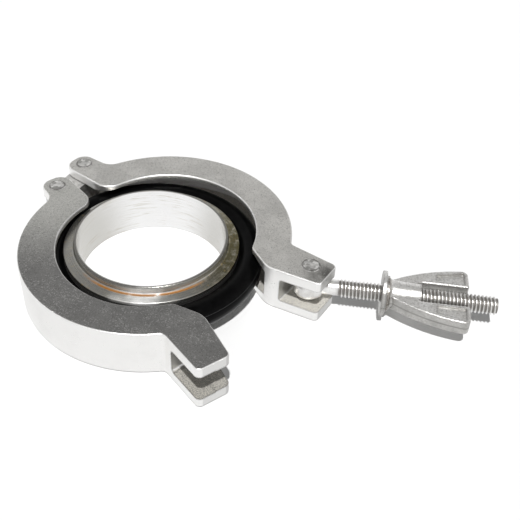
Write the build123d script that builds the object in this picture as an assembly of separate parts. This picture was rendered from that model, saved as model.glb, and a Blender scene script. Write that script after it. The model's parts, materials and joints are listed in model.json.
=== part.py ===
"""Hinged two-arm flange clamp with a swing bolt, standing open around a centering ring.

Frame: millimetres, +Z up, origin on the ring's axis in the plane that the clamp lies on.
Both arms are drawn in the clamp's closed frame: axis at the origin, hinge at +Y, lugs at -Y,
fork arm at -X and bolt arm at +X.  They are then placed where they lie with the clamp open.
"""
import math
import os

from build123d import *

# ---- centering ring and seal ---------------------------------------------------------------
BORE_RADIUS = 26.0
RING_HEIGHT = 17.0
LIP_WALL = 1.0               # thickness of the rim that locates in a flange's recess
LIP_RISE = 2.6               # rim above the shoulder's inner end
LIP_FOOT_ROUND = 0.9
SHOULDER_WIDTH = 5.0         # bore to the shoulder's outer edge
SHOULDER_FALL = 0.7          # the shoulder slopes down outwards by this much
SEAL_SECTION = 9.2           # diameter of the O-ring's cord
SEAL_REACH = 13.6            # bore to the O-ring's outer side
SEAT_CLEARANCE = 0.1         # between the O-ring and its groove

# ---- clamp arms ----------------------------------------------------------------------------
CLAMP_HEIGHT = 17.6
CHANNEL_CLEARANCE = 3.5      # between the seal and the channel's floor when centred
CHANNEL_WALL = 1.6
LIP_DEPTH = 11.3             # channel floor to lip edge
LIP_THICKNESS = 1.7          # at the lip's edge
FLANK_ANGLE = 15.0           # of each side of the channel
CHANNEL_ROUND = 1.0
LUG_WALL = 5.9               # from the wall that ends the channel to the arm's outer radius
EDGE_ROUND = 0.7
END_GAP = 4.8                # between the arms' hinge ends when closed
END_ROUND = 6.0              # of the lips at the hinge end

# ---- hinge ---------------------------------------------------------------------------------
PIN_SPACING = 16.6
PIN_STANDOFF = 4.4           # pin circle outside the arms' outer radius
LINK_TILT = 10.0             # degrees, link against the split plane's normal when closed
HINGE_PIN_DIAMETER = 5.5
EAR_RADIUS = 5.2
EAR_RUN = 5.7                # from the pin to the ear's outer side at the arm
EAR_BLEND = 5.5
LINK_HALF_WIDTH = 4.5
LINK_THICKNESS = 9.6
LINK_SIDE_CLEARANCE = 0.3
LINK_SLOT_MARGIN = 0.6

# ---- lugs ----------------------------------------------------------------------------------
LUG_ROOT_X = 6.4             # inner side of a lug at its root
LUG_TIP_X = 10.6             # inner side of a lug at its tip
LUG_TIP_WIDTH = 11.9
LUG_ROOT_WIDTH = 15.2
LUG_LENGTH = 14.5            # beyond the arms' outer radius
LUG_TIP_SKEW = 1.0
LUG_ROUND = 1.9
LUG_BLEND = 2.5
LIP_END_X = 11.0             # where the lip ends beside a lug
SLOT_HEIGHT = 9.4
SLOT_ROUND = 1.0
CORE_STEP = 0.3              # step left where the two cores of the fork's slot met
FORK_SLOT_DEPTH = 15.8
CLEVIS_SLOT_DEPTH = 14.3

# ---- swing bolt, washer and wing nut -------------------------------------------------------
BOLT_PIN_DIAMETER = 6.0
BOLT_PIN_X = 16.6
BOLT_PIN_FROM_TIP = 8.0
EYE_DIAMETER = 10.8
EYE_HEIGHT = 7.2
EYE_ROUND = 2.4
THREAD_DIAMETER = 6.35
THREAD_START = 10.2
NECK_RELIEF = 0.425          # the neck's radius below the thread's
BOLT_LENGTH = 64.4           # eye centre to bolt end
BOLT_CHAMFER = 0.7
WASHER_PLACE = 24.9          # eye centre to the washer's inner face
WASHER_DIAMETER = 15.6
WASHER_CLEARANCE = 0.275     # radial, on the thread
WASHER_THICKNESS = 1.5
WASHER_GAP = 0.2
NUT_BORE_CLEARANCE = 0.04    # radial
NUT_BASE_RADIUS = 6.1
NUT_WAIST_RADIUS = 4.9
NUT_FLARE_LENGTH = 2.2
NUT_CROWN_RADIUS = 4.5
NUT_BARREL_LENGTH = 11.6
WING_LENGTH = 28.3           # from the nut's base to the wings' ends
WING_THICKNESS = 5.6
WING_REACH = 13.2            # from the axis to a wing's outer corner
WING_BULGE = 10.0            # reach of the outer edge at mid length
WING_INNER = 4.7             # from the axis to a wing's inner edge
WING_ROUND = 2.0
WING_EDGE_ROUND = 0.6
POCKET_DEPTH = 0.8
POCKET_MARGIN = 1.3
POCKET_START = 17.0

# ---- fits ----------------------------------------------------------------------------------
PRESS_CLEARANCE = 0.02       # radial, pin in the ears that hold it
RUNNING_CLEARANCE = 0.06     # radial, pin in the piece that turns on it
HEAD_SPREAD = 0.35           # a peened head is this much larger in radius
HEAD_HEIGHT = 0.45
PIN_FOOT_GAP = 0.2           # a pin's foot stays above the arms' underside

# ---- how the open clamp lies ---------------------------------------------------------------
FORK_ARM_CENTRE = (-0.55, -4.15)  # fork arm's axis, from the ring's axis
FORK_ARM_TURN = 41.8              # degrees
OPEN_ANGLE = 11.9                 # bolt arm and link, turned about the fork arm's pin
BOLT_SWING = -59.6                # eye bolt's direction in the bolt arm's frame

# ---- derived -------------------------------------------------------------------------------
RIM_RADIUS = BORE_RADIUS + LIP_WALL
SHOULDER_RADIUS = BORE_RADIUS + SHOULDER_WIDTH
SEAL_OUTER_RADIUS = BORE_RADIUS + SEAL_REACH
SEAL_CENTRE_RADIUS = SEAL_OUTER_RADIUS - SEAL_SECTION / 2
CHANNEL_RADIUS = SEAL_OUTER_RADIUS + CHANNEL_CLEARANCE
OUTER_RADIUS = CHANNEL_RADIUS + CHANNEL_WALL
LIP_RADIUS = CHANNEL_RADIUS - LIP_DEPTH
CHANNEL_END = OUTER_RADIUS - LUG_WALL
MID_HEIGHT = CLAMP_HEIGHT / 2
LINK_REACH = PIN_SPACING / 2
PIN_ROW_Y = OUTER_RADIUS + PIN_STANDOFF
TILT = math.radians(LINK_TILT)
FORK_PIN = (-LINK_REACH * math.cos(TILT), PIN_ROW_Y - LINK_REACH * math.sin(TILT))
ARM_PIN = (LINK_REACH * math.cos(TILT), PIN_ROW_Y + LINK_REACH * math.sin(TILT))
LUG_TIP_Y = -(OUTER_RADIUS + LUG_LENGTH)
BOLT_PIN = (BOLT_PIN_X, LUG_TIP_Y + BOLT_PIN_FROM_TIP)
NUT_PLACE = WASHER_PLACE + WASHER_THICKNESS + WASHER_GAP


def nearest(shape, x, y):
    """The vertex of a flat shape that lies nearest to (x, y)."""
    return min(shape.vertices(), key=lambda v: math.hypot(v.X - x, v.Y - y))


def rounded(shape, corners):
    """A flat shape with the corner nearest to each (x, y) rounded to its radius."""
    for x, y, radius in corners:
        shape = fillet(nearest(shape, x, y), radius)
    return shape


def circle_y(radius, x):
    """Height above the X axis at which a circle about the origin crosses x."""
    return math.sqrt(radius ** 2 - x ** 2)


def arm_outline(pin):
    """Plan of an arm on the +X side: arc, hinge ear round the pin, and lug."""
    end_x = END_GAP / 2
    far = 2 * OUTER_RADIUS
    root_y = -circle_y(OUTER_RADIUS, LUG_ROOT_X) + 4.0
    lip_y = -circle_y(LIP_RADIUS, LIP_END_X)
    sector = Polygon((0, 0), (far * LIP_END_X / -lip_y, -far), (far, -far), (far, far),
                     (end_x, far), (end_x, 0), align=None)
    arc = (Circle(OUTER_RADIUS) - Circle(LIP_RADIUS)) & sector

    ear_top = pin[1] + EAR_RADIUS
    blend_x = pin[0] + EAR_RUN
    blend_y = circle_y(OUTER_RADIUS, blend_x)
    shoulder_x = pin[0] + EAR_RADIUS * 0.88
    ear = Polygon((blend_x, LIP_RADIUS + 2), (blend_x, blend_y), (shoulder_x, ear_top),
                  (end_x, ear_top), (end_x, circle_y(LIP_RADIUS, end_x) + 2), align=None)

    outer_x = LUG_TIP_X + LUG_TIP_WIDTH
    root_x = LUG_ROOT_X + LUG_ROOT_WIDTH
    lug = Polygon((LIP_END_X, lip_y), (LUG_ROOT_X, root_y), (LUG_TIP_X, LUG_TIP_Y),
                  (outer_x, LUG_TIP_Y + LUG_TIP_SKEW), (root_x, -circle_y(OUTER_RADIUS, root_x)),
                  (root_x - 1, -LIP_RADIUS), align=None)

    plan = arc + ear + lug
    return rounded(plan, [
        (end_x, circle_y(LIP_RADIUS, end_x), END_ROUND),
        (end_x, ear_top, EAR_RADIUS * 0.85),
        (shoulder_x, ear_top, EAR_RADIUS * 0.85),
        (blend_x, blend_y, EAR_BLEND),
        (LIP_END_X, lip_y, 3.0),
        (LUG_ROOT_X, root_y, 8.0),
        (LUG_TIP_X, LUG_TIP_Y, LUG_ROUND),
        (outer_x, LUG_TIP_Y + LUG_TIP_SKEW, LUG_ROUND),
        (root_x, -circle_y(OUTER_RADIUS, root_x), LUG_BLEND),
    ])


def flange_channel():
    """The V channel that both arms close round the flanges."""
    rise = LIP_DEPTH * math.tan(math.radians(FLANK_ANGLE))
    inner = LIP_RADIUS - EAR_RADIUS
    low = LIP_THICKNESS
    high = CLAMP_HEIGHT - LIP_THICKNESS
    section = Polygon((inner, low), (LIP_RADIUS, low), (CHANNEL_RADIUS, low + rise),
                      (CHANNEL_RADIUS, high - rise), (LIP_RADIUS, high), (inner, high), align=None)
    section = rounded(section, [(CHANNEL_RADIUS, low + rise, CHANNEL_ROUND),
                                (CHANNEL_RADIUS, high - rise, CHANNEL_ROUND)])
    ring = revolve(Plane.XZ * section, Axis.Z, 360)
    beyond = Box(4 * OUTER_RADIUS, 2 * OUTER_RADIUS, CLAMP_HEIGHT)
    return ring - Pos(0, -CHANNEL_END - OUTER_RADIUS, MID_HEIGHT) * beyond


def arm_blank(pin):
    """An arm on the +X side with its channel and the slot for the link."""
    blank = extrude(arm_outline(pin), CLAMP_HEIGHT, dir=(0, 0, 1))
    rims = blank.edges().filter_by_position(Axis.Z, CLAMP_HEIGHT, CLAMP_HEIGHT)
    rims += blank.edges().filter_by_position(Axis.Z, 0, 0)
    blank = fillet(rims, EDGE_ROUND)
    blank -= flange_channel()
    return blank


def link_slot(pin):
    """Slot across a hinge ear, open at its end face and running into the channel."""
    height = LINK_THICKNESS + 2 * LINK_SIDE_CLEARANCE
    right = pin[0] + LINK_HALF_WIDTH + LINK_SLOT_MARGIN
    foot = LIP_RADIUS + 3
    plan = Polygon((0, foot), (right, foot), (right, pin[1] + 2 * EAR_RADIUS),
                   (0, pin[1] + 2 * EAR_RADIUS), align=None)
    slot = extrude(plan, height, dir=(0, 0, 1))
    return Pos(0, 0, MID_HEIGHT - height / 2) * slot


def cross_slot(depth, step):
    """A slot across a lug, open at its tip, with rounded corners at its closed end."""
    box = Box(4 * LUG_TIP_WIDTH, 2 * depth, SLOT_HEIGHT)
    box = fillet(box.edges().filter_by(Axis.X), SLOT_ROUND)
    if step:
        outer = Box(2 * LUG_TIP_WIDTH, 2 * depth - 2 * SLOT_ROUND, SLOT_HEIGHT + 2 * step)
        box += Pos(LUG_TIP_X + 1.45 * LUG_TIP_WIDTH, 0, 0) * outer
    return Pos(0, LUG_TIP_Y, MID_HEIGHT) * box


def pin_hole(place, diameter, clearance):
    hole = Cylinder(diameter / 2 + clearance, 3 * CLAMP_HEIGHT)
    return Pos(place[0], place[1], MID_HEIGHT) * hole


def make_fork_arm():
    """Drawn on the +X side and mirrored to -X."""
    pin = (-FORK_PIN[0], FORK_PIN[1])
    arm = arm_blank(pin)
    arm -= link_slot(pin)
    arm -= pin_hole(pin, HINGE_PIN_DIAMETER, PRESS_CLEARANCE)
    arm -= cross_slot(FORK_SLOT_DEPTH, CORE_STEP)
    return mirror(arm, Plane.YZ)


def make_bolt_arm():
    arm = arm_blank(ARM_PIN)
    arm -= link_slot(ARM_PIN)
    arm -= pin_hole(ARM_PIN, HINGE_PIN_DIAMETER, PRESS_CLEARANCE)
    arm -= cross_slot(CLEVIS_SLOT_DEPTH, 0)
    arm -= pin_hole(BOLT_PIN, BOLT_PIN_DIAMETER, PRESS_CLEARANCE)
    return arm


def make_link():
    """Flat link between the two hinge pins."""
    plan = Pos(*FORK_PIN) * Circle(LINK_HALF_WIDTH) + Pos(*ARM_PIN) * Circle(LINK_HALF_WIDTH)
    bar = Rectangle(PIN_SPACING, 2 * LINK_HALF_WIDTH)
    plan += Pos(0, PIN_ROW_Y) * Rot(0, 0, LINK_TILT) * bar
    link = Pos(0, 0, MID_HEIGHT - LINK_THICKNESS / 2) * extrude(plan, LINK_THICKNESS, dir=(0, 0, 1))
    for pin in (FORK_PIN, ARM_PIN):
        link -= pin_hole(pin, HINGE_PIN_DIAMETER, RUNNING_CLEARANCE)
    return link


def make_pin(place, diameter):
    """Rivet pin: foot just inside the arm, shank and a low peened head on top of it."""
    radius = diameter / 2
    head = radius + HEAD_SPREAD
    top = CLAMP_HEIGHT + HEAD_HEIGHT
    section = Polygon((0, PIN_FOOT_GAP), (radius - 0.3, PIN_FOOT_GAP), (radius, PIN_FOOT_GAP + 0.3),
                      (radius, CLAMP_HEIGHT), (head, CLAMP_HEIGHT), (head - 0.25, top - 0.1),
                      (radius * 0.5, top), (0, top), align=None)
    return Pos(*place) * revolve(Plane.XZ * section, Axis.Z, 360)


def make_eye_bolt():
    """Eye at the origin, shank along +X."""
    eye = Cylinder(EYE_DIAMETER / 2, EYE_HEIGHT)
    eye = fillet(eye.edges(), EYE_ROUND)
    neck = Cylinder(THREAD_DIAMETER / 2 - NECK_RELIEF, THREAD_START)
    neck = Pos(THREAD_START / 2, 0, 0) * Rot(0, 90, 0) * neck
    thread = Cylinder(THREAD_DIAMETER / 2, BOLT_LENGTH - THREAD_START)
    thread = chamfer(thread.edges(), BOLT_CHAMFER)
    thread = Pos((BOLT_LENGTH + THREAD_START) / 2, 0, 0) * Rot(0, 90, 0) * thread
    hole = Cylinder(BOLT_PIN_DIAMETER / 2 + RUNNING_CLEARANCE, 2 * EYE_HEIGHT)
    return eye + neck + thread - hole


def make_washer():
    """Axis along +X, inner face at the origin."""
    disc = Cylinder(WASHER_DIAMETER / 2, WASHER_THICKNESS)
    disc = fillet(disc.edges(), 0.3)
    disc -= Cylinder(THREAD_DIAMETER / 2 + WASHER_CLEARANCE, 2 * WASHER_THICKNESS)
    return Rot(0, 90, 0) * Pos(0, 0, WASHER_THICKNESS / 2) * disc


def wing_plan():
    """One wing in the XY plane, on the +Y side of the nut's axis."""
    outer = ThreePointArc((1.4, NUT_WAIST_RADIUS - 0.6), (WING_LENGTH * 0.46, WING_BULGE),
                          (WING_LENGTH - 0.3, WING_REACH))
    end = Line((WING_LENGTH - 0.3, WING_REACH), (WING_LENGTH, WING_INNER))
    inner = Polyline((WING_LENGTH, WING_INNER), (NUT_BARREL_LENGTH + 0.4, WING_INNER),
                     (NUT_BARREL_LENGTH - 1.4, THREAD_DIAMETER / 2 + 0.4),
                     (1.4, THREAD_DIAMETER / 2 + 0.4), (1.4, NUT_WAIST_RADIUS - 0.6))
    plan = make_face(outer + end + inner)
    return rounded(plan, [(WING_LENGTH - 0.3, WING_REACH, WING_ROUND),
                          (WING_LENGTH, WING_INNER, 0.8),
                          (NUT_BARREL_LENGTH + 0.4, WING_INNER, 1.6)])


def wing_pocket():
    """Plan of the shallow finger pocket in each face of a wing."""
    tip = WING_LENGTH - POCKET_MARGIN
    plan = Polygon((POCKET_START, WING_INNER + POCKET_MARGIN), (tip, WING_INNER + POCKET_MARGIN),
                   (tip - 0.2, WING_REACH - POCKET_MARGIN), (POCKET_START + 4.0, WING_REACH - 3.0),
                   (POCKET_START, WING_BULGE - 0.6), align=None)
    return fillet(plan.vertices(), 0.7)


def make_wing_nut():
    """Axis along +X, base at the origin, wings in the XY plane."""
    bore = THREAD_DIAMETER / 2 + NUT_BORE_CLEARANCE
    section = make_face(
        Polyline((NUT_FLARE_LENGTH, NUT_WAIST_RADIUS), (NUT_BARREL_LENGTH, NUT_CROWN_RADIUS),
                 (NUT_BARREL_LENGTH, bore), (0, bore), (0, NUT_BASE_RADIUS), (0.7, NUT_BASE_RADIUS))
        + ThreePointArc((0.7, NUT_BASE_RADIUS), (1.2, NUT_WAIST_RADIUS + 0.35),
                        (NUT_FLARE_LENGTH, NUT_WAIST_RADIUS)))
    barrel = revolve(section, Axis.X, 360)
    wing = extrude(wing_plan(), WING_THICKNESS / 2, both=True)
    rims = wing.edges().filter_by_position(Axis.Z, WING_THICKNESS / 2, WING_THICKNESS / 2)
    rims += wing.edges().filter_by_position(Axis.Z, -WING_THICKNESS / 2, -WING_THICKNESS / 2)
    rims = [rim for rim in rims if rim.center().Y > WING_INNER - 0.1]
    wing = fillet(rims, WING_EDGE_ROUND)
    pocket = extrude(wing_pocket(), POCKET_DEPTH, dir=(0, 0, 1))
    wing -= Pos(0, 0, WING_THICKNESS / 2 - POCKET_DEPTH) * pocket
    wing -= Pos(0, 0, -WING_THICKNESS / 2) * pocket
    nut = barrel + wing + mirror(wing, Plane.XZ)
    return nut - Rot(0, 90, 0) * Cylinder(bore, 3 * NUT_BARREL_LENGTH)


def make_ring():
    """Centering ring: bore, a raised lip at each end, sloped shoulders and a round seal groove."""
    half = RING_HEIGHT / 2
    foot = half - LIP_RISE
    edge = foot - SHOULDER_FALL
    groove = SEAL_SECTION / 2 + SEAT_CLEARANCE
    section = Polygon((BORE_RADIUS, -half), (RIM_RADIUS, -half), (RIM_RADIUS, -foot),
                      (SHOULDER_RADIUS, -edge), (SHOULDER_RADIUS, edge), (RIM_RADIUS, foot),
                      (RIM_RADIUS, half), (BORE_RADIUS, half), align=None)
    section = rounded(section, [(RIM_RADIUS, half, 0.35), (RIM_RADIUS, -half, 0.35),
                                (RIM_RADIUS, foot, LIP_FOOT_ROUND),
                                (RIM_RADIUS, -foot, LIP_FOOT_ROUND),
                                (SHOULDER_RADIUS, edge, 0.4), (SHOULDER_RADIUS, -edge, 0.4)])
    section -= Pos(SEAL_CENTRE_RADIUS, 0) * Circle(groove)
    return Pos(0, 0, half) * revolve(Plane.XZ * section, Axis.Z, 360)


def make_seal():
    return Pos(0, 0, RING_HEIGHT / 2) * Torus(SEAL_CENTRE_RADIUS, SEAL_SECTION / 2)


# ---- placing -------------------------------------------------------------------------------
fork_place = Pos(*FORK_ARM_CENTRE) * Rot(0, 0, FORK_ARM_TURN)
arm_place = fork_place * Pos(*FORK_PIN) * Rot(0, 0, OPEN_ANGLE) * Pos(-FORK_PIN[0], -FORK_PIN[1])
bolt_place = arm_place * Pos(BOLT_PIN[0], BOLT_PIN[1], MID_HEIGHT) * Rot(0, 0, BOLT_SWING)

nodes = {
    "fork_arm": fork_place * make_fork_arm(),
    "bolt_arm": arm_place * make_bolt_arm(),
    "hinge_link": arm_place * make_link(),
    "fork_hinge_pin": fork_place * make_pin(FORK_PIN, HINGE_PIN_DIAMETER),
    "bolt_hinge_pin": arm_place * make_pin(ARM_PIN, HINGE_PIN_DIAMETER),
    "eye_bolt_pin": arm_place * make_pin(BOLT_PIN, BOLT_PIN_DIAMETER),
    "eye_bolt": bolt_place * make_eye_bolt(),
    "washer": bolt_place * Pos(WASHER_PLACE, 0, 0) * make_washer(),
    "wing_nut": bolt_place * Pos(NUT_PLACE, 0, 0) * make_wing_nut(),
    "centering_ring": make_ring(),
    "o_ring": make_seal(),
}

os.makedirs("parts", exist_ok=True)
for name, solid in nodes.items():
    export_step(solid, f"parts/{name}.step")
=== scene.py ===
"""Looks of the hinged flange clamp: materials, thread, stains, floor, light and camera."""
import json
import math

import bmesh
import bpy
from mathutils import Matrix, Vector


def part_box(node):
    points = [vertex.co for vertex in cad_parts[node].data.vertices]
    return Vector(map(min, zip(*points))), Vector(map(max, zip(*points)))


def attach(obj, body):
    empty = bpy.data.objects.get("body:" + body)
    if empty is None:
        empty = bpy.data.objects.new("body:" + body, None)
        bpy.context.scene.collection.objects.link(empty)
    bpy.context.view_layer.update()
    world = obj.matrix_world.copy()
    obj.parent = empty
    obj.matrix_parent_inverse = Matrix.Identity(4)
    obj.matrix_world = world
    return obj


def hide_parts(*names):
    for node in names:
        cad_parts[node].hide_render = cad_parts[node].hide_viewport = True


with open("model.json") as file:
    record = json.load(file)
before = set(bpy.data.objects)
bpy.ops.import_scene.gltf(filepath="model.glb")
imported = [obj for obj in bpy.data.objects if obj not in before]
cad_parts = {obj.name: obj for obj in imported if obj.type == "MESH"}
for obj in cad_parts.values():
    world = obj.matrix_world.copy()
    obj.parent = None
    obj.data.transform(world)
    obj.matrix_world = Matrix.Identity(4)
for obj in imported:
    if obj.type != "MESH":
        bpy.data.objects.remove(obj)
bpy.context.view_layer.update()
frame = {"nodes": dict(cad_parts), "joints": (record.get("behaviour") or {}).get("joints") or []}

NODES = frame["nodes"]
JOINTS = {j["name"]: j for j in frame["joints"]}
BOLT_AXIS = Vector(JOINTS["nut_turn"]["axis"]).normalized()
BOLT_CENTRE = Vector(JOINTS["bolt_swing"]["pos_m"])
FORK_HINGE = Vector(JOINTS["link_swing"]["pos_m"])
MM = 0.001
SEAL_LOW, SEAL_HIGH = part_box("o_ring")
SEAL_HEIGHT = (SEAL_LOW.z + SEAL_HIGH.z) / 2
SEAL_CENTRE_RADIUS = SEAL_HIGH.x - (SEAL_HIGH.z - SEAL_LOW.z) / 2


# ---- node helpers --------------------------------------------------------------------------
class Graph:
    """Small wrapper that makes and links shader nodes."""

    def __init__(self, name):
        self.material = bpy.data.materials.new(name)
        self.material.use_nodes = True
        self.tree = self.material.node_tree
        self.tree.nodes.clear()
        self.output = self.add("ShaderNodeOutputMaterial")

    def add(self, kind, **settings):
        node = self.tree.nodes.new(kind)
        for key, value in settings.items():
            setattr(node, key, value)
        return node

    def put(self, socket, value):
        if isinstance(value, bpy.types.NodeSocket):
            self.tree.links.new(value, socket)
        elif isinstance(value, (tuple, list)) and len(value) == 3 and socket.type == "RGBA":
            socket.default_value = (*value, 1.0)
        else:
            socket.default_value = value

    def math(self, operation, a, b=0.0, c=0.0, clamp=False):
        node = self.add("ShaderNodeMath", operation=operation, use_clamp=clamp)
        for socket, value in zip(node.inputs, (a, b, c)):
            self.put(socket, value)
        return node.outputs[0]

    def vector(self, operation, a, b=None, scale=None):
        node = self.add("ShaderNodeVectorMath", operation=operation)
        self.put(node.inputs[0], a)
        if b is not None:
            self.put(node.inputs[1], b)
        if scale is not None:
            self.put(node.inputs["Scale"], scale)
        single = operation in ("LENGTH", "DOT_PRODUCT", "DISTANCE")
        return node.outputs["Value" if single else 0]

    def smooth(self, value, low, high, out_low=0.0, out_high=1.0):
        node = self.add("ShaderNodeMapRange", interpolation_type="SMOOTHSTEP")
        for socket, v in zip(node.inputs[:5], (value, low, high, out_low, out_high)):
            self.put(socket, v)
        return node.outputs[0]

    def mix(self, factor, a, b):
        node = self.add("ShaderNodeMix", data_type="RGBA")
        self.put(node.inputs[0], factor)
        self.put(node.inputs[6], a)
        self.put(node.inputs[7], b)
        return node.outputs[2]

    def position(self):
        return self.add("ShaderNodeTexCoord").outputs["Object"]

    def normal(self):
        return self.add("ShaderNodeTexCoord").outputs["Normal"]

    def split(self, vector):
        node = self.add("ShaderNodeSeparateXYZ")
        self.put(node.inputs[0], vector)
        return node.outputs

    def join(self, x, y, z):
        node = self.add("ShaderNodeCombineXYZ")
        for socket, v in zip(node.inputs, (x, y, z)):
            self.put(socket, v)
        return node.outputs[0]

    def noise(self, vector, per_mm, detail=3.0, rough=0.55, distortion=0.0):
        node = self.add("ShaderNodeTexNoise")
        self.put(node.inputs["Vector"], vector)
        self.put(node.inputs["Scale"], per_mm * 1000.0)
        self.put(node.inputs["Detail"], detail)
        self.put(node.inputs["Roughness"], rough)
        self.put(node.inputs["Distortion"], distortion)
        return node.outputs["Fac"]

    def cells(self, vector, per_mm):
        """Two random values, each constant over one cell of the surface."""
        node = self.add("ShaderNodeTexVoronoi")
        self.put(node.inputs["Vector"], vector)
        self.put(node.inputs["Scale"], per_mm * 1000.0)
        red, green, _ = self.split(node.outputs["Color"])
        return red, green

    def bump(self, height, distance_mm, strength=1.0, under=None):
        node = self.add("ShaderNodeBump")
        self.put(node.inputs["Height"], height)
        self.put(node.inputs["Distance"], distance_mm * MM)
        self.put(node.inputs["Strength"], strength)
        if under is not None:
            self.put(node.inputs["Normal"], under)
        return node.outputs[0]

    def edge(self, radius_mm):
        """0 on flat areas, rising to 1 on convex or concave edges."""
        bevel = self.add("ShaderNodeBevel", samples=6)
        self.put(bevel.inputs["Radius"], radius_mm * MM)
        plain = self.add("ShaderNodeNewGeometry").outputs["Normal"]
        same = self.vector("DOT_PRODUCT", bevel.outputs[0], plain)
        return self.math("SUBTRACT", 1.0, same, clamp=True)

    def surface(self, **inputs):
        shader = self.add("ShaderNodeBsdfPrincipled")
        for key, value in inputs.items():
            self.put(shader.inputs[key.replace("_", " ")], value)
        self.tree.links.new(shader.outputs[0], self.output.inputs[0])
        return self.material


def polar(graph):
    """(radius, angle, height) of the shaded point about the ring's axis."""
    x, y, z = graph.split(graph.position())
    radius = graph.math("SQRT", graph.math("ADD", graph.math("MULTIPLY", x, x),
                                           graph.math("MULTIPLY", y, y)))
    return radius, graph.math("ARCTAN2", y, x), z


# ---- materials -----------------------------------------------------------------------------
def along_bolt(graph, point):
    """Distance of a point from the swing bolt's pin, measured along the bolt, and its offset."""
    offset = graph.vector("SUBTRACT", point, tuple(BOLT_CENTRE))
    return graph.vector("DOT_PRODUCT", offset, tuple(BOLT_AXIS)), offset


def tinted(tone, factor):
    return tuple(min(c * factor, 1.0) for c in tone)


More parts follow.
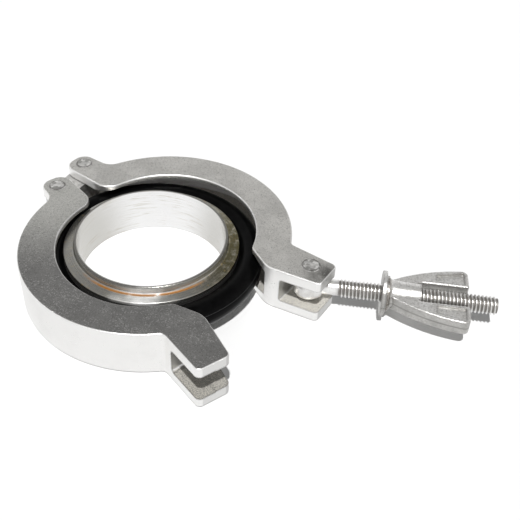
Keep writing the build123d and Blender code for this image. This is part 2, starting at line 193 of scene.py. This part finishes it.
def blasted_casting(name, centre, top_tone, side_tone, speckle, painted_light_patches):
    """Bead-blasted aluminium casting about a vertical axis through centre (mm).

    Grainy top faces painted darker than the pale polished sides, sides facing +x painted darker, a
    painted reflection inside the slots, painted glints in the grain, painted shade along the outer
    rims and beside the inner lip, and painted highlights on edges.
    Each patch is a painted pool of light or shade: (centre in mm, full inside, gone beyond, tone,
    strength)."""
    g = Graph(name)
    p = g.position()
    x, y, z = g.split(p)
    normal = g.add("ShaderNodeNewGeometry").outputs["Normal"]
    up = g.split(normal)[2]
    flat = g.smooth(g.math("ABSOLUTE", up), 0.70, 0.97)

    grain = g.noise(p, 2.6, 3.0, 0.85)
    cloud = g.noise(p, 0.10, 5.0, 0.62)
    bright_cell, dark_cell = g.cells(p, 3.4)
    thick = g.smooth(g.noise(p, 0.16, 2.0), 0.36, 0.62, 0.25, 1.0)
    grain_glint = g.math("MULTIPLY", g.smooth(bright_cell, 0.70, 1.0), thick)
    pit = g.smooth(dark_cell, 0.86, 0.99)

    face = g.mix(g.smooth(cloud, 0.36, 0.66, 0.0, 0.6), top_tone, tinted(top_tone, 1.35))
    # Painted pools of light and shade: a painted highlight towards the hinge on the near arm,
    # painted shade at the lug tip on the far arm.
    for spot, inside, outside, patch_tone, strength in painted_light_patches:
        reach = g.vector("DISTANCE", p, tuple(v * MM for v in spot))
        reach = g.math("MULTIPLY_ADD", cloud, 14 * MM, reach)
        inner = g.smooth(reach, (outside + 7) * MM, (inside + 7) * MM, 0.0, strength)
        face = g.mix(inner, face, patch_tone)
    face = g.mix(g.smooth(grain, 0.42, 0.68, 0.0, 0.45), face, tinted(top_tone, 0.42))
    # Shiny grains (lower roughness below) with painted glints: bright speckles painted over them.
    face = g.mix(g.math("MULTIPLY", grain_glint, speckle), face, (0.90, 0.89, 0.87))
    face = g.mix(g.math("MULTIPLY", pit, 0.45), face, (0.06, 0.056, 0.05))
    # Painted reflection: upward faces deep in the slots are painted pale.
    inside_slot = g.math("MULTIPLY", g.smooth(z, 7.0 * MM, 5.5 * MM), g.smooth(up, 0.5, 0.9))
    face = g.mix(g.math("MULTIPLY", inside_slot, g.smooth(grain, 0.34, 0.62, 0.85, 0.15)), face,
                 (0.80, 0.76, 0.67))

    side = g.mix(g.smooth(cloud, 0.45, 0.7, 0.0, 0.3), side_tone, tinted(side_tone, 0.88))
    side = g.mix(g.smooth(grain, 0.55, 0.75, 0.0, 0.12), side, tinted(side_tone, 0.6))
    # Painted shade: sides facing +x are painted darker.
    facing_x = g.split(g.normal())[0]
    side = g.mix(g.smooth(facing_x, 0.45, 0.75, 0.0, 0.75), side, tinted(side_tone, 0.50))
    # Tops and sides take different tones by facing: the dark tops are painted shade.
    tone = g.mix(flat, side, face)

    wide = g.smooth(g.edge(1.0), 0.012, 0.10)
    narrow = g.smooth(g.edge(0.55), 0.02, 0.14)
    axis = (centre[0] * MM, centre[1] * MM, 0.0)
    reach = g.vector("LENGTH", g.vector("SUBTRACT", g.join(x, y, 0.0), axis))
    inner_rim = g.smooth(reach, 37.0 * MM, 34.5 * MM)
    outer_rim = g.math("SUBTRACT", 1.0, inner_rim)
    # Painted shade along the outer rims' edges.
    tone = g.mix(g.math("MULTIPLY", g.math("MULTIPLY", wide, outer_rim), 0.6), tone,
                 tinted(top_tone, 0.4))
    # Painted shade in a band beside the inner lip, then a painted highlight on the lip's edge.
    beside = g.math("MULTIPLY", g.math("SUBTRACT", wide, narrow, clamp=True), inner_rim)
    tone = g.mix(g.math("MULTIPLY", beside, 0.75), tone, tinted(top_tone, 0.35))
    tone = g.mix(g.math("MULTIPLY", g.math("MULTIPLY", narrow, inner_rim), 0.85), tone,
                 (0.95, 0.945, 0.93))
    # Painted highlight on the outer edges of the sides.
    crest = g.math("MULTIPLY", g.math("MULTIPLY", narrow, outer_rim), g.smooth(up, 0.85, 0.45))
    tone = g.mix(g.math("MULTIPLY", crest, 0.35), tone, (0.93, 0.925, 0.91))

    rough = g.math("MULTIPLY_ADD", grain, 0.22, 0.30)
    rough = g.math("MULTIPLY_ADD", grain_glint, -0.14, rough)
    rough = g.math("MULTIPLY_ADD", narrow, -0.08, rough, clamp=True)
    height = g.math("MULTIPLY_ADD", grain, 0.8, g.math("MULTIPLY", pit, -0.7))
    relief = g.bump(height, 0.07, 0.6)
    relief = g.bump(g.noise(p, 0.30, 3.0, 0.5), 0.14, 0.3, relief)
    metal = g.math("MULTIPLY_ADD", flat, -0.26, 0.98)
    metal = g.math("MULTIPLY_ADD", inside_slot, -0.45, metal)
    channel = g.math("MULTIPLY", g.smooth(reach, 38.0 * MM, 40.0 * MM),
                     g.smooth(reach, 44.2 * MM, 43.6 * MM))
    channel = g.math("MULTIPLY", channel, g.smooth(flat, 0.6, 0.3))
    metal = g.math("MULTIPLY_ADD", channel, -0.6, metal, clamp=True)
    return g.surface(Base_Color=tone, Metallic=metal, Roughness=rough, Normal=relief)


def ring_steel():
    """Turned ring: bore painted bright as a reflection, with faint scratches; shoulder with
    stains, a painted glare at the front and painted shade at its sides; a brown crease line and a
    painted dark line on the lip's top edge.
    """
    g = Graph("ring_steel")
    p = g.position()
    radius, angle, z = polar(g)
    r = g.math("MULTIPLY", radius, 1000.0)
    h = g.math("MULTIPLY", z, 1000.0)
    across, along, _ = g.split(g.vector("NORMALIZE", p))

    turned = g.noise(g.join(g.math("MULTIPLY", radius, 9.0), g.math("MULTIPLY", z, 9.0),
                            g.math("MULTIPLY", angle, 0.0004)), 1.2, 3.0, 0.7)
    cloud = g.noise(p, 0.12, 4.0, 0.6)
    blotch = g.noise(p, 0.45, 4.0, 0.65)
    bore = g.smooth(r, 26.35, 26.15)
    upper = g.smooth(h, 12.4, 13.0)
    shoulder = g.math("MULTIPLY", g.smooth(r, 26.9, 27.3), upper)
    front = g.math("MULTIPLY_ADD", cloud, 0.2, g.math("MULTIPLY", along, -1.0))

    # Painted reflection: the bore is painted near white where it faces along y, greyer where it
    # faces along x.
    bright = g.smooth(g.math("ABSOLUTE", across), 0.85, 0.30)
    wall = g.mix(bright, (0.66, 0.65, 0.62), (0.97, 0.97, 0.965))
    wall = g.mix(g.smooth(turned, 0.4, 0.75, 0.0, 0.18), wall, (0.6, 0.59, 0.57))
    scratch_place = g.join(g.math("MULTIPLY", angle, 0.0011), g.math("MULTIPLY", z, 1.1), 0.0)
    scratch = g.smooth(g.noise(scratch_place, 2.2, 2.0, 0.5), 0.56, 0.64)
    scratch = g.math("MULTIPLY", scratch, g.smooth(g.noise(p, 0.09, 2.0), 0.42, 0.56))
    wall = g.mix(g.math("MULTIPLY", scratch, 0.42), wall, (0.50, 0.44, 0.33))

    face = g.mix(g.smooth(turned, 0.3, 0.7), (0.50, 0.49, 0.47), (0.66, 0.65, 0.63))
    # Painted shade: the shoulder is painted grey towards -x and dark olive towards +x.
    olive = g.smooth(across, 0.35, 0.95)
    dark = g.mix(olive, (0.40, 0.395, 0.37), (0.13, 0.115, 0.055))
    dark = g.mix(g.smooth(blotch, 0.46, 0.68, 0.0, 0.65), dark, (0.50, 0.48, 0.41))
    glare = g.smooth(front, 0.90, 1.08)
    face = g.mix(shoulder, face, dark)
    face = g.mix(g.math("MULTIPLY", glare, upper), face, (0.95, 0.945, 0.93))
    stain = g.math("MULTIPLY", shoulder, g.smooth(g.noise(p, 0.8, 4.0, 0.65), 0.58, 0.70))
    stain = g.math("MULTIPLY", stain, g.smooth(glare, 0.8, 0.2))
    face = g.mix(g.math("MULTIPLY", stain, 0.6), face, (0.42, 0.28, 0.08))
    crease = g.smooth(g.math("ABSOLUTE", g.math("SUBTRACT", r, 27.75)), 0.62, 0.22)
    crease = g.math("MULTIPLY", crease, g.math("MULTIPLY", g.smooth(h, 15.0, 14.6), upper))
    crease = g.math("MULTIPLY", crease, g.smooth(front, 0.62, 0.86))
    crease = g.math("MULTIPLY", crease, g.smooth(g.noise(p, 0.35, 3.0), 0.28, 0.46))
    face = g.mix(g.math("MULTIPLY", crease, 0.95), face, (0.30, 0.115, 0.006))
    # Painted shade: a dark line along the top of the lip at the bore's edge.
    rim = g.math("MULTIPLY", g.smooth(h, 16.55, 16.8), g.smooth(r, 26.0, 26.1))
    face = g.mix(g.math("MULTIPLY", rim, 0.8), face, (0.16, 0.155, 0.14))
    tone = g.mix(bore, face, wall)

    rough = g.math("MULTIPLY_ADD", turned, 0.16, 0.20)
    rough = g.math("MULTIPLY_ADD", bore, -0.06, rough)
    rough = g.math("MULTIPLY_ADD", stain, 0.25, rough)
    rough = g.math("MULTIPLY_ADD", crease, 0.3, rough, clamp=True)
    metal = g.math("MULTIPLY_ADD", g.math("MULTIPLY", glare, upper), -0.84, 0.94)
    metal = g.math("MULTIPLY_ADD", crease, -0.5, metal, clamp=True)
    relief = g.bump(turned, 0.02, 0.35)
    return g.surface(Base_Color=tone, Metallic=metal, Roughness=rough, Normal=relief)


def seal_rubber():
    """Satin black moulded rubber with faint grey flecks, stronger towards -x, and a moulded flash
    ridge round its outside painted lighter as a highlight line.
    """
    g = Graph("seal_rubber")
    p = g.position()
    radius, _, z = polar(g)
    mottled = g.noise(p, 0.4, 3.0)
    fine = g.noise(p, 3.0, 2.0, 0.6)
    fleck_mask = g.smooth(g.noise(p, 1.1, 4.0, 0.7), 0.64, 0.78)
    # Grey flecks, weighted strongly towards -x.
    fleck_left_weighted = g.math("MULTIPLY", fleck_mask, g.smooth(g.split(p)[0], 0.0, -34 * MM, 0.06, 0.5))
    tone = g.mix(g.smooth(mottled, 0.35, 0.7), (0.0008, 0.0008, 0.0009), (0.0022, 0.0022, 0.0023))
    tone = g.mix(fleck_left_weighted, tone, (0.12, 0.115, 0.11))

    tube = g.math("SUBTRACT", radius, SEAL_CENTRE_RADIUS)
    around = g.math("ARCTAN2", g.math("SUBTRACT", z, SEAL_HEIGHT), tube)
    # The flash ridge is a real bump; its lighter grey tone is a painted highlight line.
    flash_highlight = g.math("ABSOLUTE", g.math("SUBTRACT", around, 0.47))
    flash_highlight = g.smooth(g.math("MULTIPLY_ADD", fine, 0.01, flash_highlight), 0.035, 0.012)
    tone = g.mix(g.math("MULTIPLY", flash_highlight, 0.4), tone, (0.10, 0.10, 0.10))
    rough = g.math("MULTIPLY_ADD", mottled, 0.14, 0.26)
    rough = g.math("MULTIPLY_ADD", flash_highlight, -0.12, rough)
    rough = g.math("MULTIPLY_ADD", fleck_mask, 0.2, rough, clamp=True)
    relief = g.bump(fine, 0.02, 0.25)
    relief = g.bump(flash_highlight, 0.15, 0.8, relief)
    return g.surface(Base_Color=tone, Metallic=0.0, Roughness=rough, Normal=relief,
                     Specular_IOR_Level=0.07)


def pin_steel():
    """Peened rivet heads: pale dented faces inside a ring of painted shade round each head's edge.
    """
    g = Graph("pin_steel")
    p = g.position()
    x, y, z = g.split(p)
    cloud = g.noise(p, 0.5, 3.0)
    fine = g.noise(p, 2.5, 2.0, 0.7)
    facet, _ = g.cells(p, 0.75)
    tone = g.mix(g.smooth(cloud, 0.35, 0.7), (0.55, 0.545, 0.53), (0.78, 0.77, 0.75))
    head = g.smooth(z, 17.2 * MM, 17.7 * MM)
    dented = g.math("MULTIPLY", head, g.smooth(facet, 0.25, 0.45, 0.6, 0.0))
    tone = g.mix(dented, tone, (0.22, 0.215, 0.20))
    polished = g.math("MULTIPLY", head, g.smooth(facet, 0.62, 0.8, 0.0, 0.7))
    tone = g.mix(polished, tone, (0.93, 0.92, 0.90))
    out = None
    for name in ("link_swing", "arm_swing", "bolt_swing"):
        axis = JOINTS[name]["pos_m"]
        head_radius = 3.35 if name == "bolt_swing" else 3.1
        gap = g.vector("SUBTRACT", g.join(x, y, 0.0), (axis[0], axis[1], 0.0))
        gap = g.vector("LENGTH", gap)
        gap = g.math("DIVIDE", gap, head_radius * MM)
        out = gap if out is None else g.math("MINIMUM", out, gap)
    # Painted shade: a dark ring round the edge of each head.
    ring = g.math("MULTIPLY", g.smooth(out, 0.76, 0.85), g.smooth(out, 1.02, 0.95))
    ring = g.math("MULTIPLY", ring, g.smooth(z, 16.0 * MM, 17.0 * MM))
    ring = g.math("MULTIPLY", ring, g.smooth(fine, 0.3, 0.6, 0.9, 0.5))
    tone = g.mix(ring, tone, (0.07, 0.066, 0.06))
    rough = g.math("MULTIPLY_ADD", fine, 0.22, 0.26)
    dents = g.math("MULTIPLY", facet, head)
    height = g.math("MULTIPLY_ADD", dents, 0.9, g.math("MULTIPLY", fine, 0.4))
    relief = g.bump(height, 0.08, 0.6)
    return g.surface(Base_Color=tone, Metallic=0.82, Roughness=rough, Normal=relief)


def bolt_steel():
    """Bright rolled steel, with painted shade that makes the thread's roots almost black."""
    g = Graph("bolt_steel")
    p = g.position()
    fine = g.noise(p, 2.4, 3.0, 0.7)
    cloud = g.noise(p, 0.22, 3.0)
    tone = g.mix(g.smooth(cloud, 0.35, 0.68), (0.74, 0.73, 0.715), (0.92, 0.915, 0.90))
    tone = g.mix(g.smooth(fine, 0.52, 0.72, 0.0, 0.35), tone, (0.42, 0.40, 0.37))
    centre_line, offset = along_bolt(g, p)
    from_axis = g.vector("LENGTH", g.vector("SUBTRACT", offset, g.vector(
        "SCALE", tuple(BOLT_AXIS), scale=centre_line)))
    # Painted shade in the thread's roots.
    root = g.math("MULTIPLY", g.smooth(from_axis, 2.95 * MM, 2.5 * MM),
                  g.smooth(centre_line, 9.0 * MM, 10.5 * MM))
    tone = g.mix(g.math("MULTIPLY", root, 0.8), tone, (0.10, 0.085, 0.07))
    rough = g.math("MULTIPLY_ADD", fine, 0.2, 0.2)
    rough = g.math("MULTIPLY_ADD", root, 0.25, rough, clamp=True)
    relief = g.bump(fine, 0.03, 0.4)
    return g.surface(Base_Color=tone, Metallic=0.88, Roughness=rough, Normal=relief)


def plated_casting():
    """Satin plated casting: broad faces painted pale and sides painted greyer, painted highlights
    on rims with painted shade lines beside, and painted shade at the nut's base.
    """
    g = Graph("plated_casting")
    p = g.position()
    up = g.math("ABSOLUTE", g.split(g.normal())[2])
    flat = g.smooth(up, 0.6, 0.95)
    grain = g.noise(p, 1.5, 4.0, 0.7)
    cloud = g.noise(p, 0.16, 3.0)
    # Painted light and shade by facing: sides painted greyer than the broad faces.
    side = g.mix(g.smooth(cloud, 0.35, 0.7), (0.42, 0.415, 0.40), (0.58, 0.57, 0.55))
    middle = g.math("ABSOLUTE", g.math("SUBTRACT", g.split(p)[2], BOLT_CENTRE.z))
    side = g.mix(g.smooth(middle, 0.45 * MM, 0.15 * MM, 0.0, 0.6), side, (0.16, 0.155, 0.145))
    face = g.mix(g.smooth(cloud, 0.35, 0.7), (0.70, 0.69, 0.67), (0.84, 0.835, 0.82))
    tone = g.mix(flat, side, face)
    tone = g.mix(g.smooth(grain, 0.44, 0.66, 0.0, 0.6), tone, (0.33, 0.32, 0.30))
    # Painted shade: a dark mottled band at the nut's base beside the washer.
    place, _ = along_bolt(g, p)
    base = g.math("MULTIPLY", g.smooth(place, 26.35 * MM, 26.45 * MM),
                  g.smooth(place, 28.1 * MM, 27.5 * MM))
    base_shade = g.math("MULTIPLY", base, g.smooth(grain, 0.35, 0.6, 0.3, 0.9))
    tone = g.mix(base_shade, tone, (0.16, 0.13, 0.10))
    wide = g.smooth(g.edge(0.9), 0.012, 0.12)
    narrow = g.smooth(g.edge(0.4), 0.03, 0.2)
    # Painted shade in a line beside each edge, then a painted highlight on the edge itself.
    dark = g.math("SUBTRACT", wide, narrow, clamp=True)
    tone = g.mix(g.math("MULTIPLY", dark, 0.85), tone, (0.10, 0.095, 0.085))
    tone = g.mix(g.math("MULTIPLY", narrow, 0.7), tone, (0.93, 0.925, 0.91))
    rough = g.math("MULTIPLY_ADD", grain, 0.22, 0.26)
    relief = g.bump(grain, 0.10, 0.7)
    relief = g.bump(g.noise(p, 0.7, 2.0), 0.30, 0.45, relief)
    return g.surface(Base_Color=tone, Metallic=0.78, Roughness=rough, Normal=relief)


def dress(node, material):
    mesh = NODES[node].data
    mesh.materials.clear()
    mesh.materials.append(material)


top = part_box("fork_arm")[1].z / MM
FORK_ARM_CENTRE = (-0.55, -4.15)   # the arms' own axes, mm
BOLT_ARM_CENTRE = (4.84, 4.30)
SIDE_TONE = (0.95, 0.945, 0.93)
hinge = (FORK_HINGE.x / MM, FORK_HINGE.y / MM, top)
bolt_pin = (BOLT_CENTRE.x / MM, BOLT_CENTRE.y / MM, top)
# Painted shade: the patch at the bolt arm's corner is painted dark.
lug_tip = (bolt_pin[0] + 7.2, bolt_pin[1] - 5.3, top)   # the bolt arm's dark corner
# The near arm's top is painted dark and the far arm's top lighter: painted shade and painted light
# on two copies of one metal.
arm_near = blasted_casting("blasted_near_shaded", FORK_ARM_CENTRE, (0.20, 0.198, 0.192), SIDE_TONE,
                           0.34, [(hinge, 8.0, 50.0, (0.66, 0.655, 0.62), 0.85)])
arm_far = blasted_casting("blasted_far_lit", BOLT_ARM_CENTRE, (0.56, 0.55, 0.525), SIDE_TONE,
                          0.30, [(lug_tip, 1.5, 9.0, (0.07, 0.068, 0.062), 0.95)])
dress("fork_arm", arm_near)
dress("bolt_arm", arm_far)
pins = pin_steel()
for name in ("hinge_link", "fork_hinge_pin", "bolt_hinge_pin", "eye_bolt_pin"):
    dress(name, pins)
bright = bolt_steel()
dress("eye_bolt", bright)
plated = plated_casting()
dress("washer", plated)
dress("wing_nut", plated)
dress("centering_ring", ring_steel())
dress("o_ring", seal_rubber())


# ---- the bolt's thread ---------------------------------------------------------------------
def threaded_rod(start, end, pitch, crest, root, chamfer):
    """Vertices and faces of a helical thread along +X, in metres, with a chamfered far end."""
    columns = 40
    profile = ((0.0, root), (0.13, root), (0.44, crest), (0.57, crest), (0.87, root))
    verts, faces = [], []
    turns = int((end - start) / pitch) + 2
    for turn in range(-1, turns):
        for phase, radius in profile:
            for column in range(columns):
                angle = 2 * math.pi * column / columns
                x = start + (turn + phase + column / columns) * pitch
                x = min(max(x, start), end)
                taper = min(end - x, x - start) + crest - chamfer
                r = min(radius, taper)
                verts.append((x, r * math.cos(angle), r * math.sin(angle)))
    rows = len(verts) // columns
    for row in range(rows - 1):
        for column in range(columns):
            a = row * columns + column
            if column < columns - 1:
                faces.append((a, a + 1, a + columns + 1, a + columns))
            elif row + len(profile) + 1 < rows:
                b = (row + len(profile)) * columns
                faces.append((a, b, b + columns, a + columns))
    for x in (start, end):
        first = len(verts)
        radius = crest - chamfer
        for column in range(columns):
            angle = 2 * math.pi * column / columns
            verts.append((x, radius * math.cos(angle), radius * math.sin(angle)))
        faces.append(tuple(range(first, first + columns)))
    return verts, faces


PITCH = 1.27 * MM
THREAD_START = 10.2 * MM          # from the bolt's pin
CREST_RADIUS = 3.17 * MM
ROOT_RADIUS = 2.50 * MM
END_CHAMFER = 0.62 * MM


def make_bolt():
    """The eye and neck of the CAD bolt with a real thread in place of its plain shank."""
    source = NODES["eye_bolt"]
    along = lambda co: (co - BOLT_CENTRE).dot(BOLT_AXIS)
    reach = max(along(v.co) for v in source.data.vertices)
    mesh = source.data.copy()
    bm = bmesh.new()
    bm.from_mesh(mesh)
    bmesh.ops.delete(bm, geom=[v for v in bm.verts if along(v.co) > THREAD_START + 0.02 * MM],
                     context="VERTS")
    side = Vector((0, 0, 1)).cross(BOLT_AXIS)
    basis = Matrix((BOLT_AXIS, side, (0, 0, 1))).transposed()
    verts, faces = threaded_rod(THREAD_START, reach, PITCH, CREST_RADIUS, ROOT_RADIUS, END_CHAMFER)
    made = [bm.verts.new(BOLT_CENTRE + basis @ Vector(v)) for v in verts]
    for face in faces:
        corners = [made[i] for i in face]
        bm.faces.new(corners)
    bm.to_mesh(mesh)
    bm.free()
    piece = bpy.data.objects.new("eye_bolt_threaded", mesh)
    bpy.context.scene.collection.objects.link(piece)
    mesh.materials.clear()
    mesh.materials.append(bright)
    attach(piece, "bolt_body")
    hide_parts("eye_bolt")


make_bolt()


# ---- floor ---------------------------------------------------------------------------------
def floor_material():
    """Pale floor that takes the object's shadow; metal reflects it as white."""
    g = Graph("floor")
    p = g.position()
    patchy = g.smooth(g.noise(p, 0.01, 2.0), 0.3, 0.7)
    tone = g.mix(patchy, (0.95, 0.95, 0.95), (0.935, 0.935, 0.93))
    matt = g.add("ShaderNodeBsdfDiffuse")
    g.put(matt.inputs["Color"], tone)
    white = g.add("ShaderNodeEmission")
    white.inputs["Strength"].default_value = 0.95
    pick = g.add("ShaderNodeMixShader")
    g.put(pick.inputs[0], g.add("ShaderNodeLightPath").outputs["Is Glossy Ray"])
    g.tree.links.new(matt.outputs[0], pick.inputs[1])
    g.tree.links.new(white.outputs[0], pick.inputs[2])
    g.tree.links.new(pick.outputs[0], g.output.inputs[0])
    return g.material


def make_floor():
    bpy.ops.mesh.primitive_plane_add(size=8.0, location=(0, 0, -0.0002))
    floor = bpy.context.object
    floor.name = "floor"
    floor.data.materials.append(floor_material())


make_floor()


# ---- light ---------------------------------------------------------------------------------
def sun(name, towards, strength, spread):
    light = bpy.data.lights.new(name, "SUN")
    light.energy = strength
    light.angle = math.radians(spread)
    lamp = bpy.data.objects.new(name, light)
    lamp.rotation_euler = Vector(towards).to_track_quat("-Z", "Y").to_euler()
    bpy.context.scene.collection.objects.link(lamp)


def make_world():
    """Even soft light, with a darker ceiling and a pale horizon for metal to reflect."""
    world = bpy.data.worlds.new("studio")
    bpy.context.scene.world = world
    world.use_nodes = True
    tree = world.node_tree
    tree.nodes.clear()

    def link(a, b):
        tree.links.new(a, b)

    out = tree.nodes.new("ShaderNodeOutputWorld")
    soft = tree.nodes.new("ShaderNodeBackground")
    soft.inputs[0].default_value = (0.98, 0.99, 1.0, 1)
    soft.inputs[1].default_value = 0.22
    seen = tree.nodes.new("ShaderNodeBackground")
    seen.inputs[1].default_value = 1.0
    place = tree.nodes.new("ShaderNodeTexCoord")
    parts = tree.nodes.new("ShaderNodeSeparateXYZ")
    link(place.outputs["Generated"], parts.inputs[0])
    ramp = tree.nodes.new("ShaderNodeValToRGB")
    link(parts.outputs[2], ramp.inputs[0])
    stops = ramp.color_ramp.elements
    stops[0].position, stops[0].color = 0.30, (1.0, 1.0, 1.0, 1)
    stops[1].position, stops[1].color = 0.95, (0.22, 0.22, 0.22, 1)
    middle = stops.new(0.62)
    middle.color = (0.46, 0.455, 0.45, 1)
    link(ramp.outputs[0], seen.inputs[0])
    rays = tree.nodes.new("ShaderNodeLightPath")
    shown = tree.nodes.new("ShaderNodeMath")
    shown.operation = "MAXIMUM"
    link(rays.outputs["Is Camera Ray"], shown.inputs[0])
    link(rays.outputs["Is Glossy Ray"], shown.inputs[1])
    pick = tree.nodes.new("ShaderNodeMixShader")
    link(shown.outputs[0], pick.inputs[0])
    link(soft.outputs[0], pick.inputs[1])
    link(seen.outputs[0], pick.inputs[2])
    link(pick.outputs[0], out.inputs[0])


sun("key", (0.0, 0.42, -0.91), 3.0, 2.0)
make_world()
bpy.context.scene.view_settings.view_transform = "Standard"


# ---- camera --------------------------------------------------------------------------------
PICTURE_WIDTH = 520.0


def make_camera(focal_px, elevation, roll, shift_mm, distance_mm):
    """Looks along +Y and down by elevation; shift is the origin's place in the camera's plane."""
    e, r = math.radians(elevation), math.radians(roll)
    forward = Vector((0, math.cos(e), -math.sin(e)))
    right = Vector((1, 0, 0))
    down = -right.cross(forward)
    x_axis = right * math.cos(r) - down * math.sin(r)
    y_axis = right * math.sin(r) + down * math.cos(r)
    place = -(x_axis * shift_mm[0] + y_axis * shift_mm[1] + forward * distance_mm) * MM
    data = bpy.data.cameras.new("camera")
    data.sensor_width = 36.0
    data.lens = focal_px / PICTURE_WIDTH * data.sensor_width
    data.clip_start, data.clip_end = 0.01, 20.0
    camera = bpy.data.objects.new("camera", data)
    rotation = Matrix((x_axis, -y_axis, -forward)).transposed().to_4x4()
    camera.matrix_world = Matrix.Translation(place) @ rotation
    bpy.context.scene.collection.objects.link(camera)
    bpy.context.scene.camera = camera


make_camera(focal_px=869.0, elevation=41.176, roll=2.633, shift_mm=(-38.751, 4.208),
            distance_mm=316.88)
